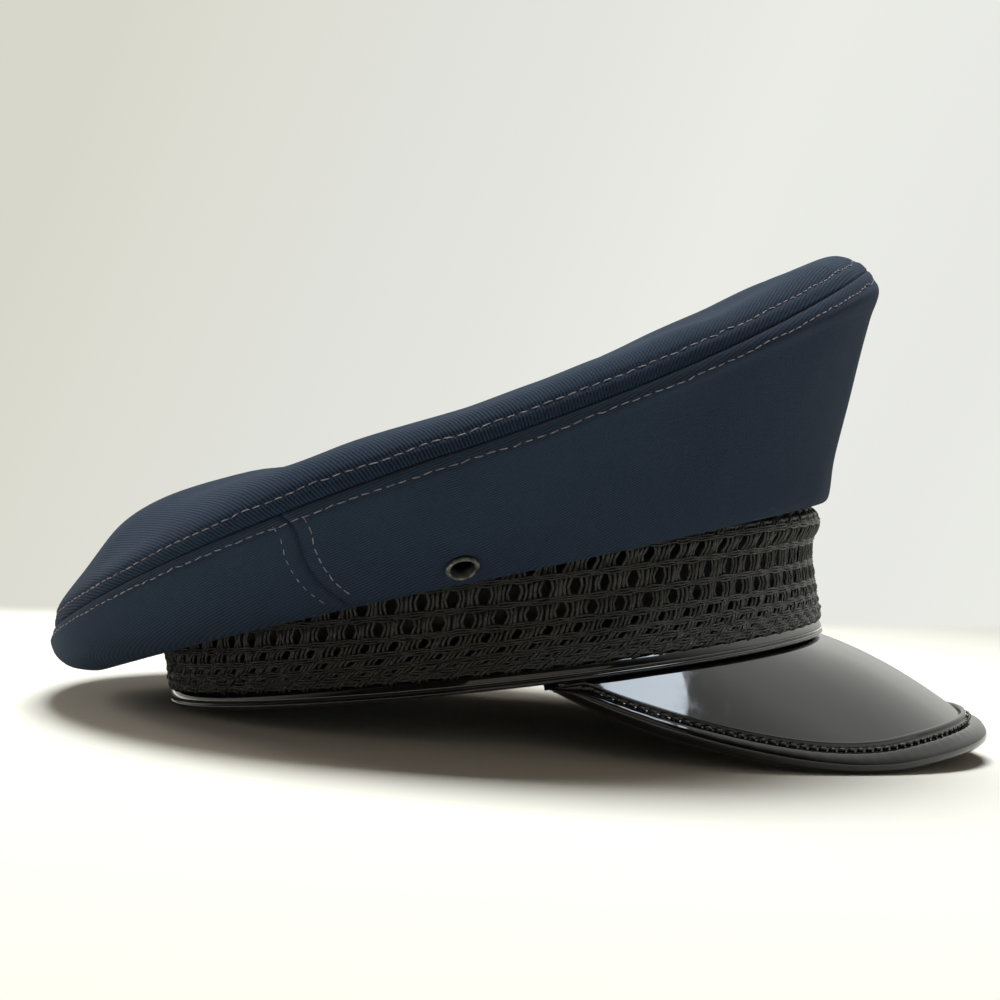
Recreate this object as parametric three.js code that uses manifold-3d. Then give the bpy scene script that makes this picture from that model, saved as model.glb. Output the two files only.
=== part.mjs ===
// A peaked uniform cap: cloth crown, open woven band, glossy peak.
// It lies as it rests by itself, on the back of its bottom edge and the two sides of its peak.
// Units are millimetres. +X points forward, to the tip of the peak, and +Z up.

import * as THREE from 'three';
import { mergeVertices } from 'three/addons/utils/BufferGeometryUtils.js';
import Module from 'manifold-3d';

// Driving dimensions

const GAP = 0.3; // clearance between pieces that touch on the real cap
const SEGMENTS = 58; // steps round the cap
const FRONT_STEPS = 34;
const REAR_STEPS = 22;

// The head oval, at the outside of the woven band's foot.
const BAND_LENGTH = 205;
const BAND_WIDTH = 169.5;
const BAND_NARROWING = 0.03; // share by which the front half is narrower than the back

const CLOTH = 1.6; // wall of the crown
// The side seam of the crown leans forward from the welt down, in degrees from the front.
const SEAM_TOP = 108;
const SEAM_BOTTOM = 101.5;

// Rings of the crown wall, from its seat on the band up to the welt seam.
// front, rear and half give the ring's plan. The z columns are heights above the
// band's bottom edge, at 0, 45, 90, 135 and 180 degrees from the front.
const WALL_RINGS = [
  { front: 102.0, rear: 102.0, half: 84.2, z: [41.0, 41.0, 41.0, 41.0, 41.0] },
  { front: 107.4, rear: 112.2, half: 91.2, z: [41.0, 41.0, 41.0, 40.6, 40.6] },
  { front: 108.4, rear: 116.0, half: 94.4, z: [41.2, 40.2, 36.5, 30.0, 27.0] },
  { front: 108.8, rear: 122.5, half: 99.0, z: [41.2, 38.6, 30.6, 19.8, 13.4] },
  { front: 109.8, rear: 126.5, half: 101.8, z: [42.2, 39.4, 31.1, 19.6, 12.9] },
  { front: 112.8, rear: 132.5, half: 109.5, z: [53.0, 52.3, 39.0, 24.2, 16.0] },
  { front: 119.4, rear: 136.3, half: 117.2, z: [72.0, 69.0, 48.5, 30.0, 19.7] },
  { front: 126.6, rear: 137.5, half: 123.4, z: [96.0, 85.8, 58.0, 35.4, 23.3] },
  { front: 129.6, rear: 137.0, half: 125.2, z: [106.0, 91.4, 61.8, 37.3, 25.0] },
  { front: 127.3, rear: 135.8, half: 124.8, z: [112.6, 94.6, 64.2, 38.6, 26.8] },
];

// Rings of the top panel, from the welt seam in to the middle.
const TOP_RINGS = [
  { front: 127.1, rear: 135.6, half: 124.6, z: [113.3, 95.3, 64.9, 39.3, 27.5] },
  { front: 126.0, rear: 134.4, half: 124.9, z: [115.6, 98.6, 69.0, 44.5, 33.0] },
  { front: 119.5, rear: 127.5, half: 120.0, z: [117.6, 101.6, 74.2, 53.5, 41.0] },
  { front: 108.0, rear: 114.0, half: 109.5, z: [115.4, 100.6, 76.8, 62.5, 56.5] },
  { front: 86.0, rear: 92.0, half: 87.5, z: [108.6, 97.5, 77.4, 66.5, 65.5] },
  { front: 48.0, rear: 54.0, half: 50.0, z: [94.0, 89.0, 77.4, 70.0, 69.5] },
  { front: 0.0, rear: 0.0, half: 0.0, z: [78.0, 78.0, 78.0, 78.0, 78.0] },
];
const PLAN_ROUNDNESS = 2.15; // 2 is a true oval, more is squarer

// Soft dents of the top panel: where they lie, how far they reach and how deep they are.
const TOP_DENTS = [
  { x: -51, y: 0, reachX: 13, reachY: 110, depth: 3.0 },
  { x: -9, y: 0, reachX: 9, reachY: 110, depth: 2.4 },
];

// The woven band, from its foot up to the rolled edge: out is its distance outside the
// head oval, and back what is added to that at the very back.
const BAND_WALL = 1.8;
const INSIDE_EVERY = 3; // the plain inside follows every third row of the outside
const BAND_PROFILE = [
  { z: 1.6, out: -1.6, back: 0.0 },
  { z: 5.2, out: 0.9, back: 0.0 },
  { z: 12.4, out: 0.6, back: 0.6 },
  { z: 27.4, out: 0.4, back: 1.8 },
  { z: 35.4, out: 2.6, back: 2.8 },
  { z: 38.2, out: 5.0, back: 2.8 },
  { z: 40.3, out: 3.8, back: 2.8 },
];
// Holes between the cords of the weave, in staggered rows round the band.
const HOLES_PER_ROW = 36;
const HOLE_ROWS = [
  { z: 31.4, width: 8.0, height: 6.6 },
  { z: 23.2, width: 8.0, height: 6.6 },
  { z: 16.0, width: 7.0, height: 5.4 },
];
const HOLE_SIDES = 4;
const HOLE_REACH = 14; // length of a hole's cutter
const HOLE_CENTRE = -3.5; // where the cutter's middle lies, outside the head oval

// The glossy strip that binds the bottom edge of the band, and its ledge below it.
const BINDING_HEIGHT = 4.6;
const BINDING_FACE = 1.3; // its outer face, outside the head oval
const BINDING_BEAD = 0.7; // half height of its rolled bottom edge
const BINDING_ROLL = 0.3; // how far the roll stands out, and the top edge leans in
const BINDING_FOOT = 0.9;
const BINDING_BACK = 0.7; // its face towards the weave, outside the head oval
const LEDGE_CORNER = -1.0; // where that face meets the ledge
const LEDGE = 1.2;
const LEDGE_WIDTH = 7.2;

// The leather band inside.
const SWEAT_SPACE = 0.8; // air between the weave and the leather
const SWEAT_WALL = 1.2;
const SWEAT_HEIGHT = 37.5;

// The peak: a crescent under the front of the band.
const PEAK_WALL = 1.6;
const PEAK_END = 81.5; // how far round the band its ends lie, in degrees of the head oval
const PEAK_TUCK = 4.5; // how far it runs under the band
const PEAK_TIP = 152.2; // reach of its outer edge in front
const PEAK_ROOT = 14; // where its outer edge leaves the band, from the middle of the cap
const PEAK_HALF_WIDTH = 88.5;
const PEAK_DROP = 36.8; // depth of its outer edge below the band
const PEAK_DROP_SPAN = 50; // degrees from each end over which the edge reaches that depth
const PEAK_DROP_SHAPE = 0.9;
const PEAK_ARCH = 5.0; // how far its middle stands above a straight slope
const PEAK_STEPS = 36;
const PEAK_ROWS = 3;
const PEAK_FIRST = 0.02; // share at which its visible part starts

// The binding of the peak's edge, as a section across it.
// inward runs from the edge of the peak back to the band, up from its top face.
const EDGE_SECTION = [
  { inward: 8.2, up: 0.3 },
  { inward: 8.4, up: 1.3 },
  { inward: 7.4, up: 1.7 },
  { inward: 4.0, up: 1.5 },
  { inward: 0.4, up: 1.2 },
  { inward: -1.2, up: -0.6 },
  { inward: -0.8, up: -2.4 },
  { inward: 1.2, up: -3.2 },
  { inward: 5.6, up: -3.0 },
  { inward: 5.6, up: -2.3 },
  { inward: 1.2, up: -2.2 },
  { inward: 1.2, up: 0.3 },
];
const EDGE_START = 0.97; // how far towards each end of the peak the binding runs
const END_ROOM = 2.6; // bare width left beside the binding at the ends of the peak
const PEAK_TRIM = 1.9; // how far inside the binding's line the peak itself ends

// Air eyelets in the sides of the crown.
const EYELET_AZIMUTH = 88;
const EYELET_RISE = 0.11; // share of the way from the fold up to the welt
const EYELET_SIDES = 12;
const EYELET_CUT = 4.1; // radius of the hole in the cloth
const EYELET_REACH = 9.6; // length of the hole's cutter
const EYELET_HOLE = 3.1;
const EYELET_FLANGE = 4.7;
const EYELET_SEAT = 0.7; // height of the flange's under side over the cloth
const EYELET_EDGE = 1.1;
const EYELET_CROWN = 1.7;
const EYELET_INSIDE = 0.8; // how far its barrel stands out inside the cap

const FOLD_RING = 4; // the ring of the wall where it turns up from the band
const EDGE_RINGS = 3; // the dents of the top fade out over the rings next to the welt

// Finishes

const cloth = { color: 0x1b2130, roughness: 0.92, metalness: 0 };
const straw = { color: 0x111113, roughness: 0.45, metalness: 0 };
const patent = { color: 0x09090b, roughness: 0.08, metalness: 0 };
const leather = { color: 0x1d1613, roughness: 0.6, metalness: 0 };
const darkMetal = { color: 0x2a2c30, roughness: 0.4, metalness: 0.8 };

const wasm = await Module();
wasm.setup();

// Curves shared by the pieces

const radians = THREE.MathUtils.degToRad;
const UP = new THREE.Vector3(0, 0, 1);

const SAME_POINT = 1e-6; // points this close are one point
const WELD = 1e-4; // and corners this close are welded before a cut

function signedPower(value, power) {
  return Math.sign(value) * Math.abs(value) ** power;
}

// A point of the head oval, moved outwards in plan by out.
function headOval(turn, out, z) {
  const across = 1 - BAND_NARROWING * Math.cos(turn);
  const a = BAND_LENGTH / 2;
  const b = (BAND_WIDTH / 2) * across;
  const x = a * Math.cos(turn);
  const y = b * Math.sin(turn);
  const normal = new THREE.Vector2(x / (a * a), y / (b * b)).normalize();
  return new THREE.Vector3(x + normal.x * out, y + normal.y * out, z);
}

// Smooth even curve round the cap through five values, 45 degrees apart.
function roundTheCap(values, turn) {
  const last = values.length - 1;
  let sum = 0;
  for (let wave = 0; wave <= last; wave += 1) {
    let share = 0;
    for (let i = 0; i <= last; i += 1) {
      const ends = i === 0 || i === last ? 0.5 : 1;
      share += (ends * values[i] * Math.cos((Math.PI * wave * i) / last) * 2) / last;
    }
    sum += (wave === 0 || wave === last ? 0.5 : 1) * share * Math.cos(wave * turn);
  }
  return sum;
}

// A point of one ring of the crown.
function ringPoint(ring, turn) {
  const middle = (ring.front - ring.rear) / 2;
  const reach = (ring.front + ring.rear) / 2;
  const power = 2 / PLAN_ROUNDNESS;
  const x = middle + reach * signedPower(Math.cos(turn), power);
  const y = ring.half * signedPower(Math.sin(turn), power);
  return new THREE.Vector3(x, y, roundTheCap(ring.z, turn));
}

function dentDepth(x, y) {
  let depth = 0;
  for (const dent of TOP_DENTS) {
    const u = (x - dent.x) / dent.reachX;
    const v = (y - dent.y) / dent.reachY;
    depth += dent.depth * Math.exp(-u * u - v * v);
  }
  return depth;
}

// Solids

function solidMesh(name, positions, finish) {
  const geometry = new THREE.BufferGeometry();
  geometry.setAttribute('position', new THREE.Float32BufferAttribute(positions, 3));
  geometry.computeVertexNormals();
  const mesh = new THREE.Mesh(geometry, new THREE.MeshStandardMaterial(finish));
  mesh.name = name;
  return mesh;
}

function addTriangle(positions, a, b, c) {
  const shortest = Math.min(a.distanceTo(b), b.distanceTo(c), c.distanceTo(a));
  if (shortest < SAME_POINT) return;
  positions.push(a.x, a.y, a.z, b.x, b.y, b.z, c.x, c.y, c.z);
}

function addQuad(positions, a, b, c, d) {
  addTriangle(positions, a, b, c);
  addTriangle(positions, a, c, d);
}

// Outward direction of a grid of points at one of them: columns run round, rows run up.
function gridNormal(grid, i, k, closed) {
  const columns = grid.length;
  const rows = grid[0].length;
  const next = closed ? (i + 1) % columns : Math.min(i + 1, columns - 1);
  const previous = closed ? (i + columns - 1) % columns : Math.max(i - 1, 0);
  const round = grid[next][k].clone().sub(grid[previous][k]);
  const up = grid[i][Math.min(k + 1, rows - 1)].clone().sub(grid[i][Math.max(k - 1, 0)]);
  return round.cross(up).normalize();
}

function offsetGrid(grid, distance, closed) {
  return grid.map((column, i) => column.map((point, k) => {
    const pole = k === column.length - 1 && point.distanceTo(grid[0][k]) < SAME_POINT && closed;
    const normal = pole ? UP : gridNormal(grid, i, k, closed);
    return point.clone().addScaledVector(normal, distance);
  }));
}

// A wall between two grids of the same size, closed along all of its edges.
function wallPositions(outer, inner, closed) {
  const positions = [];
  const columns = outer.length;
  const rows = outer[0].length;
  const spans = closed ? columns : columns - 1;
  for (let i = 0; i < spans; i += 1) {
    const j = (i + 1) % columns;
    for (let k = 0; k < rows - 1; k += 1) {
      addQuad(positions, outer[i][k], outer[j][k], outer[j][k + 1], outer[i][k + 1]);
      addQuad(positions, inner[i][k], inner[i][k + 1], inner[j][k + 1], inner[j][k]);
    }
    addQuad(positions, outer[i][0], inner[i][0], inner[j][0], outer[j][0]);
    const top = rows - 1;
    addQuad(positions, outer[i][top], outer[j][top], inner[j][top], inner[i][top]);
  }
  if (!closed) {
    const end = columns - 1;
    for (let k = 0; k < rows - 1; k += 1) {
      addQuad(positions, outer[0][k], outer[0][k + 1], inner[0][k + 1], inner[0][k]);
      addQuad(positions, outer[end][k], inner[end][k], inner[end][k + 1], outer[end][k + 1]);
    }
  }
  return positions;
}

// A ring whose section is a closed list of { out, z, back } corners, running
// counter-clockwise when seen with out to the right and z up.
function ovalRing(section, segments) {
  const positions = [];
  const point = (i, k) => {
    const { out, z, back = 0 } = section[k % section.length];
    const turn = ((i % segments) * 2 * Math.PI) / segments;
    const rearward = ((1 - Math.cos(turn)) / 2) ** 3;
    return headOval(turn, out + back * rearward, z);
  };
  for (let i = 0; i < segments; i += 1) {
    for (let k = 0; k < section.length; k += 1) {
      addQuad(positions, point(i, k), point(i + 1, k), point(i + 1, k + 1), point(i, k + 1));
    }
  }
  return positions;
}

function toManifold(positions) {
  const raw = new THREE.BufferGeometry();
  raw.setAttribute('position', new THREE.Float32BufferAttribute(positions, 3));
  const merged = mergeVertices(raw, WELD);
  return new wasm.Manifold(new wasm.Mesh({
    numProp: 3,
    vertProperties: merged.attributes.position.array,
    triVerts: new Uint32Array(merged.index.array),
  }));
}

function fromManifold(solid) {
  const mesh = solid.getMesh();
  const positions = [];
  for (const corner of mesh.triVerts) {
    for (let axis = 0; axis < 3; axis += 1) {
      positions.push(mesh.vertProperties[corner * mesh.numProp + axis]);
    }
  }
  return positions;
}

// A prism of a few sides along a direction, as a cutter.
function prism(centre, direction, up, width, height, depth, sides) {
  const shape = new THREE.CylinderGeometry(0.5, 0.5, depth, sides, 1);
  shape.deleteAttribute('normal');
  shape.deleteAttribute('uv');
  const along = direction.clone().normalize();
  const side = new THREE.Vector3().crossVectors(up, along).normalize();
  const rise = new THREE.Vector3().crossVectors(along, side);
  const frame = new THREE.Matrix4().makeBasis(
    side.multiplyScalar(width), along, rise.multiplyScalar(-height),
  );
  frame.setPosition(centre);
  shape.applyMatrix4(frame);
  const loose = shape.toNonIndexed();
  return toManifold(Array.from(loose.attributes.position.array));
}

// The crown

function wallGrid(fromSeam, toSeam, steps) {
  const last = WALL_RINGS.length - 1;
  return Array.from({ length: steps + 1 }, (unused, i) => WALL_RINGS.map((ring, k) => {
    const from = fromSeam(k / last);
    const to = toSeam(k / last);
    return ringPoint(ring, from + ((to - from) * i) / steps);
  }));
}

function topGrid() {
  return Array.from({ length: SEGMENTS }, (unused, i) => TOP_RINGS.map((ring, k) => {
    const point = ringPoint(ring, (2 * Math.PI * i) / SEGMENTS);
    point.z -= dentDepth(point.x, point.y) * Math.min(1, k / EDGE_RINGS);
    return point;
  }));
}

// Where the side seam lies, for a share of the way from the bottom of the wall to the welt.
function seamTurn(share, clear) {
  const azimuth = SEAM_BOTTOM + (SEAM_TOP - SEAM_BOTTOM) * share;
  return radians(azimuth) + clear / (BAND_WIDTH / 2);
}

function crownWallPoint(turn, share) {
  const rows = WALL_RINGS.length - 1 - FOLD_RING;
  const place = FOLD_RING + share * rows;
  const lower = Math.floor(place);
  const a = ringPoint(WALL_RINGS[lower], turn);
  const b = ringPoint(WALL_RINGS[Math.min(lower + 1, WALL_RINGS.length - 1)], turn);
  return a.lerp(b, place - lower);
}

function crownWallNormal(turn, share) {
  const step = 0.02;
  const round = crownWallPoint(turn + step, share).sub(crownWallPoint(turn - step, share));
  const up = crownWallPoint(turn, share + step).sub(crownWallPoint(turn, share - step));
  return round.cross(up).normalize();
}

function eyeletPlaces() {
  return [1, -1].map((side) => {
    const turn = radians(EYELET_AZIMUTH) * side;
    return {
      centre: crownWallPoint(turn, EYELET_RISE),
      normal: crownWallNormal(turn, EYELET_RISE),
    };
  });
}

function crownSide(name, fromSeam, toSeam, steps) {
  const outer = wallGrid(fromSeam, toSeam, steps);
  const inner = offsetGrid(outer, -CLOTH, false);
  return solidMesh(name, wallPositions(outer, inner, false), cloth);
}

function crownSideFront() {
  const fromSeam = (share) => -seamTurn(share, -GAP / 2);
  const toSeam = (share) => seamTurn(share, -GAP / 2);
  const mesh = crownSide('crown_side_front', fromSeam, toSeam, FRONT_STEPS);
  let solid = toManifold(Array.from(mesh.geometry.attributes.position.array));
  for (const place of eyeletPlaces()) {
    const across = EYELET_CUT * 2;
    const { centre, normal } = place;
    const cutter = prism(centre, normal, UP, across, across, EYELET_REACH, EYELET_SIDES);
    solid = solid.subtract(cutter);
  }
  return solidMesh(mesh.name, fromManifold(solid), cloth);
}

function crownSideRear() {
  const fromSeam = (share) => seamTurn(share, GAP / 2);
  const toSeam = (share) => 2 * Math.PI - seamTurn(share, GAP / 2);
  return crownSide('crown_side_rear', fromSeam, toSeam, REAR_STEPS);
}

function crownTop() {
  const outer = topGrid();
  const inner = offsetGrid(outer, -CLOTH, true);
  return solidMesh('crown_top', wallPositions(outer, inner, true), cloth);
}

function ventEyelet(name, place) {
  const barrel = EYELET_CUT - GAP;
  const lip = -CLOTH - EYELET_INSIDE;
  const profile = [
    [EYELET_HOLE, lip],
    [barrel, lip],
    [barrel, EYELET_SEAT],
    [EYELET_FLANGE, EYELET_SEAT],
    [EYELET_FLANGE, EYELET_EDGE],
    [(EYELET_FLANGE + EYELET_HOLE) / 2, EYELET_CROWN],
    [EYELET_HOLE, EYELET_EDGE],
    [EYELET_HOLE, lip],
  ].map(([radius, height]) => new THREE.Vector2(radius, height));
  const ring = new THREE.LatheGeometry(profile, EYELET_SIDES);
  const mesh = new THREE.Mesh(ring, new THREE.MeshStandardMaterial(darkMetal));
  mesh.name = name;
  mesh.quaternion.setFromUnitVectors(new THREE.Vector3(0, 1, 0), place.normal);
  mesh.position.copy(place.centre);
  return mesh;
}

// The band

function wovenBand() {
  const inside = BAND_PROFILE.filter((row, k) => k % INSIDE_EVERY === 0)
    .map((row) => ({ ...row, out: row.out - BAND_WALL })).reverse();
  let solid = toManifold(ovalRing([...BAND_PROFILE, ...inside], HOLES_PER_ROW));
  const step = (2 * Math.PI) / HOLES_PER_ROW;
  HOLE_ROWS.forEach((row, index) => {
    for (let i = 0; i < HOLES_PER_ROW; i += 1) {
      const turn = (i + ((index + 1) % 2) / 2) * step;
      const centre = headOval(turn, HOLE_CENTRE, row.z);
      const outward = headOval(turn, 1, row.z).sub(headOval(turn, 0, row.z));
      const { width, height } = row;
      const cutter = prism(centre, outward, UP, width, height, HOLE_REACH, HOLE_SIDES);
      solid = solid.subtract(cutter);
    }
  });
  return solidMesh('woven_band', fromManifold(solid), straw);
}

function baseBinding() {
  const section = [
    { out: BINDING_FOOT, z: 0 },
    { out: BINDING_FACE + BINDING_ROLL, z: BINDING_BEAD },
    { out: BINDING_FACE, z: BINDING_BEAD * 2 },
    { out: BINDING_FACE - BINDING_ROLL, z: BINDING_HEIGHT },
    { out: BINDING_BACK, z: BINDING_HEIGHT },
    { out: LEDGE_CORNER, z: LEDGE },
    { out: -LEDGE_WIDTH, z: LEDGE },
    { out: -LEDGE_WIDTH, z: 0 },
  ];
  return solidMesh('base_binding', ovalRing(section, SEGMENTS), patent);
}

function sweatband() {
  const out = BAND_PROFILE[0].out - BAND_WALL - SWEAT_SPACE;
  const bottom = LEDGE + GAP;
  const section = [
    { out, z: bottom },
    { out, z: bottom + SWEAT_HEIGHT },
    { out: out - SWEAT_WALL, z: bottom + SWEAT_HEIGHT },
    { out: out - SWEAT_WALL, z: bottom },
  ];
  return solidMesh('sweatband', ovalRing(section, SEGMENTS), leather);
}

// The peak

// Outer edge of the peak, for a place from -1 at one end to 1 at the other.
function peakEdge(place) {
  const turn = (place * Math.PI) / 2;
  const x = PEAK_ROOT + (PEAK_TIP - PEAK_ROOT) * Math.cos(turn);
  const y = PEAK_HALF_WIDTH * Math.sin(turn);
  const fromEnd = (1 - Math.abs(place)) * 90;
  const rise = Math.min(1, fromEnd / PEAK_DROP_SPAN) * (Math.PI / 2);
  return new THREE.Vector3(x, y, -PEAK_DROP * Math.sin(rise) ** PEAK_DROP_SHAPE);
}

// A point of the top face of the peak: share runs from the band to the outer edge.
function peakPoint(place, share) {
  const root = headOval(radians(PEAK_END) * place, -PEAK_TUCK, -GAP);
  const start = headOval(radians(PEAK_END) * place, 0, -GAP);
  const edge = peakEdge(place);
  if (share <= 0) return root;
  const point = start.clone().lerp(edge, share);
  const arch = PEAK_ARCH * Math.cos((Math.PI / 2) * place) ** 2;
  point.z += arch * 4 * share * (1 - share);
  return point;
}

function peakWidth(place) {
  return peakPoint(place, 1).distanceTo(peakPoint(place, PEAK_FIRST));
}

// The share of the way out to the edge for a distance in from it, which shrinks
// towards the ends of the peak, where there is less room.
function shareFromEdge(place, inward) {
  const width = peakWidth(place);
  const room = Math.min(1, (width - END_ROOM) / EDGE_SECTION[0].inward);
  return 1 - (inward > 0 ? inward * room : inward) / width;
}

function peakPlace(step) {
  return EDGE_START * (-1 + (2 * step) / PEAK_STEPS);
}

function peak() {
  const top = Array.from({ length: PEAK_STEPS + 1 }, (unused, i) => {
    const place = peakPlace(i);
    const flange = shareFromEdge(place, EDGE_SECTION[0].inward);
    const column = [peakPoint(place, 0)];
    for (let k = 0; k <= PEAK_ROWS; k += 1) {
      column.push(peakPoint(place, PEAK_FIRST + ((flange - PEAK_FIRST) * k) / PEAK_ROWS));
    }
    column.push(peakPoint(place, shareFromEdge(place, PEAK_TRIM)));
    return column;
  });
  const under = offsetGrid(top, PEAK_WALL, false);
  return solidMesh('peak', wallPositions(under, top, false), patent);
}

// One section of the peak's binding, its flanges lying along the faces of the peak.
function edgeSection(place) {
  const step = 0.01;
  const nearEdge = 0.95;
  const before = peakPoint(place - step, nearEdge);
  const along = peakPoint(place + step, nearEdge).sub(before).normalize();
  return EDGE_SECTION.map(({ inward, up }) => {
    const share = shareFromEdge(place, inward);
    const point = peakPoint(place, share);
    const slope = peakPoint(place, share + step).sub(peakPoint(place, share - step)).normalize();
    return point.addScaledVector(slope.cross(along).normalize(), up);
  });
}

function peakBinding() {
  const sections = Array.from({ length: PEAK_STEPS + 1 }, (unused, i) => (
    edgeSection(peakPlace(i))
  ));
  const positions = [];
  const corners = EDGE_SECTION.length;
  for (let i = 0; i < PEAK_STEPS; i += 1) {
    for (let k = 0; k < corners; k += 1) {
      const n = (k + 1) % corners;
      const [a, b] = [sections[i], sections[i + 1]];
      addQuad(positions, a[n], b[n], b[k], a[k]);
    }
  }
  const flat = EDGE_SECTION.map(({ inward, up }) => new THREE.Vector2(inward, up));
  for (const [a, b, c] of THREE.ShapeUtils.triangulateShape(flat, [])) {
    const [first, last] = [sections[0], sections[PEAK_STEPS]];
    addTriangle(positions, first[a], first[c], first[b]);
    addTriangle(positions, last[a], last[b], last[c]);
  }
  return solidMesh('peak_binding', positions, patent);
}

// The rest

// The pitch at which the back of the bottom edge and the peak's lowest line both touch down.
function restPitch(mesh) {
  const back = new THREE.Vector2(headOval(Math.PI, BINDING_FOOT, 0).x, 0);
  const corners = mesh.geometry.attributes.position;
  let pitch = 0;
  for (let i = 0; i < corners.count; i += 1) {
    const run = corners.getX(i) - back.x;
    pitch = Math.max(pitch, Math.atan2(-corners.getZ(i), run));
  }
  return pitch;
}

const [leftPlace, rightPlace] = eyeletPlaces();
const binding = peakBinding();
const cap = new THREE.Group();
cap.add(
  crownTop(),
  crownSideFront(),
  crownSideRear(),
  ventEyelet('vent_eyelet_left', leftPlace),
  ventEyelet('vent_eyelet_right', rightPlace),
  wovenBand(),
  baseBinding(),
  sweatband(),
  peak(),
  binding,
);
cap.rotation.y = -restPitch(binding);

// The part's origin is on the surface under the middle of its box.
const group = new THREE.Group();
group.add(cap);
const box = new THREE.Box3().setFromObject(group, true);
cap.position.set(-(box.min.x + box.max.x) / 2, -(box.min.y + box.max.y) / 2, -box.min.z);

export default group;
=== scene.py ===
import math
from functools import lru_cache

import bmesh
import bpy
from mathutils import Matrix, Vector, noise


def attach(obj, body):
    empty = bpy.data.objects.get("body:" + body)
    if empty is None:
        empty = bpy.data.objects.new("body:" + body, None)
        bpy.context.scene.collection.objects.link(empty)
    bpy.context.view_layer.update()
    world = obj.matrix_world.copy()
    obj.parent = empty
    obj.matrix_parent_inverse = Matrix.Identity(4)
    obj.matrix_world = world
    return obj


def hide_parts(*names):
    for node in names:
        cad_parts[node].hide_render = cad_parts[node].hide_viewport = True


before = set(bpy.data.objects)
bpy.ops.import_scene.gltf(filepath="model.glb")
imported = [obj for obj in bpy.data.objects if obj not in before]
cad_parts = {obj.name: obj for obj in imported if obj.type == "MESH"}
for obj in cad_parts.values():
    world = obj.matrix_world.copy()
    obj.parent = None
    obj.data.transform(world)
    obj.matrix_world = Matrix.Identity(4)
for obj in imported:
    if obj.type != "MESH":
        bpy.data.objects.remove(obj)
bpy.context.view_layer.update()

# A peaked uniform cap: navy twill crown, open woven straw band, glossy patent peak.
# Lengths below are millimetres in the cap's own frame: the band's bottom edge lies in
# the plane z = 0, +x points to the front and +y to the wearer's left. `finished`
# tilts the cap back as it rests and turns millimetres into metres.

MM = 0.001
REST_PITCH = math.radians(10.2155)
REST_SHIFT = Vector((-8.826, 0.0, 18.338))

# The head oval and the crown: the solid model's measures, here a little refined.
BAND_LENGTH = 205.0
BAND_WIDTH = 169.5
BAND_NARROWING = 0.03  # share by which the oval is narrower in front and wider behind
CLOTH = 1.6
SIDE_REACH = 108.0  # usual reach of the crown's wall, which turns millimetres into turns
WELT_REACH = 125.0  # the same at the welt, for counting its stitches
FABRIC_REACH = 0.116  # metres of side cloth for one radian round the cap
FABRIC_RISE = 1.1  # length of side cloth over its height, because the wall leans out
SEAM_TOP, SEAM_BOTTOM = 108.8, 100.8  # degrees from the front to each side seam
SEAM_BEND = 0.58  # share of the wall below the welt over which the side seam sweeps forward
SEAM_CURVE = 1.3
PLAN_ROUNDNESS = 2.15  # power of the crown's outline seen from above; 2 is an ellipse
# Each ring: reach in front, reach at the rear, half width, then its heights at
# 0, 45, 90, 135 and 180 degrees from the front.
WALL_RINGS = (
    (102.0, 102.0, 84.2, 41.0, 41.0, 41.0, 41.0, 41.0),
    (107.4, 112.2, 91.2, 41.0, 41.0, 41.0, 40.6, 40.6),
    (108.4, 116.0, 94.4, 41.2, 40.2, 36.5, 30.0, 27.0),
    (108.8, 122.5, 99.0, 41.2, 38.6, 30.6, 19.8, 13.4),
    (109.8, 127.6, 101.8, 42.2, 39.4, 31.1, 19.3, 12.3),
    (112.8, 134.2, 109.5, 53.0, 52.3, 39.0, 23.2, 14.2),
    (119.6, 137.6, 117.2, 72.0, 69.0, 48.5, 29.6, 18.2),
    (128.3, 138.0, 123.4, 95.8, 85.8, 58.2, 35.6, 22.8),
    (131.9, 137.2, 125.2, 105.4, 90.4, 62.1, 37.7, 24.0),
    (129.0, 136.0, 124.8, 112.2, 94.1, 65.6, 40.0, 26.1),
)
FOLD_RING = 4  # the ring at which the cloth turns up from under the wall
TOP_RINGS = (
    (129.0, 136.0, 124.8, 112.3, 94.2, 65.7, 40.1, 26.2),
    (125.6, 134.8, 124.3, 114.9, 97.5, 69.4, 44.5, 31.6),
    (119.0, 126.4, 119.8, 117.4, 101.4, 74.2, 53.0, 40.4),
    (108.0, 112.4, 109.5, 116.0, 101.0, 77.0, 62.2, 56.0),
    (86.0, 92.0, 87.5, 109.4, 98.0, 78.0, 66.8, 65.5),
    (48.0, 54.0, 50.0, 94.8, 89.6, 78.2, 71.0, 70.0),
    (0.0, 0.0, 0.0, 78.0, 78.0, 78.0, 78.0, 78.0),
)
# Soft dents and one swell across the top panel: x, reach in x, depth.
TOP_DENTS = ((-47.0, 11.0, 2.4), (-28.0, 9.0, -1.2), (-6.0, 9.0, 1.0), (72.0, 14.0, 1.2))

# Seams and threads.
# Distance of each stitch row from the welt seam: at the side, and what is added in front.
TOP_ROW = (4.2, 0.7)
WALL_ROW = (3.2, 0.5)
STITCH_PITCH = 3.4
STITCH_LENGTH = 3.2
SEAM_STITCHES = (3.0, -3.9)  # stitch rows in front of and behind each side seam
SEAM_ROW_TOP, SEAM_ROW_FOOT = 0.93, 0.47  # shares of the wall between which they run
THREAD = 0.17  # half thickness of the sewing thread
PUCKER = 0.09  # height of the ripples that the stitches pull up
WELT_FOLD = (1.6, 1.1)  # half height and half depth of the fold inside the welt

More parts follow.
